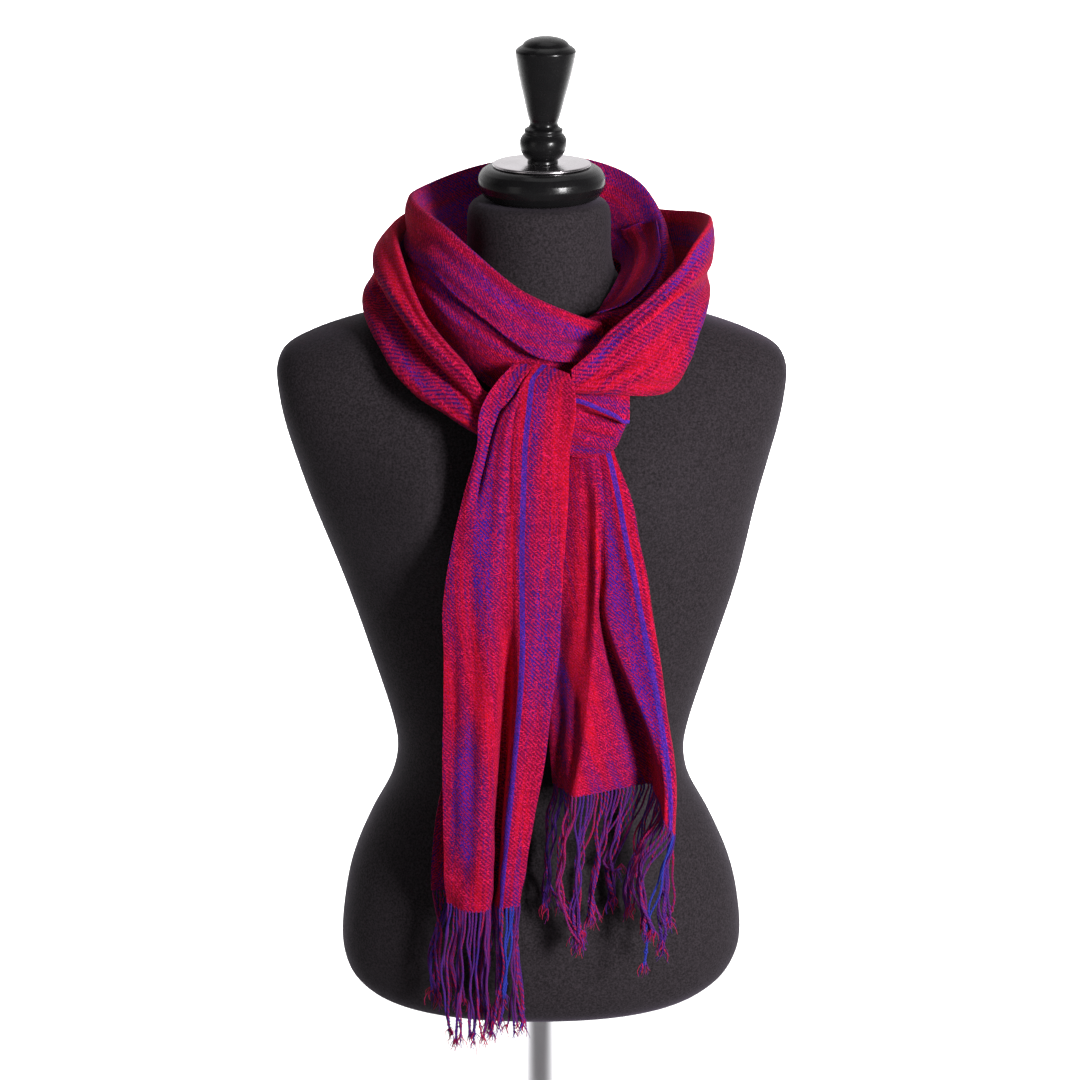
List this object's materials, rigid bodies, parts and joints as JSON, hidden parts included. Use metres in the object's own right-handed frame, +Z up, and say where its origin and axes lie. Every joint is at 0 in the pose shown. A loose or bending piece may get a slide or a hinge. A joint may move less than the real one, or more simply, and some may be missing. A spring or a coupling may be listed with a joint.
{
  "type": "woven scarf on a limbless dress form with a stand",
  "caption": "Hand-woven twill scarf with twisted fringe, wound twice round the neck of a limbless dress form on a pole stand, both ends hanging in front.",
  "frame": {"origin": "middle of the stand base's underside, on the surface it stands on", "axes": "+Z up along the neck, +X to the viewer's right, -Y the front where both ends hang"},
  "size_m": [0.4016, 0.35, 1.0447],
  "materials": {
    "woven_cloth": "hand-woven 2/2 twill, crimson weft over a crimson, purple and blue-violet warp",
    "fringe_yarn": "two-ply twisted yarn, purple, crimson and blue-violet",
    "form_jersey": "fine charcoal stretch jersey, matte with a slight nap",
    "black_gloss": "gloss black lacquer",
    "plate_metal": "satin metal disc",
    "stand_metal": "polished"
  },
  "bodies": {
    "root": {"wrap_inner": "woven_cloth", "wrap_outer": "woven_cloth", "knot_lobe": "woven_cloth", "tail_front": "woven_cloth", "tail_side": "woven_cloth", "fringe_front": "fringe_yarn", "fringe_side": "fringe_yarn", "form_torso": "form_jersey", "neck_cap": "black_gloss", "cap_plate": "plate_metal", "finial": "black_gloss", "stand_pole": "stand_metal", "stand_flange": "stand_metal", "stand_base": "stand_metal"}
  },
  "joints": []
}
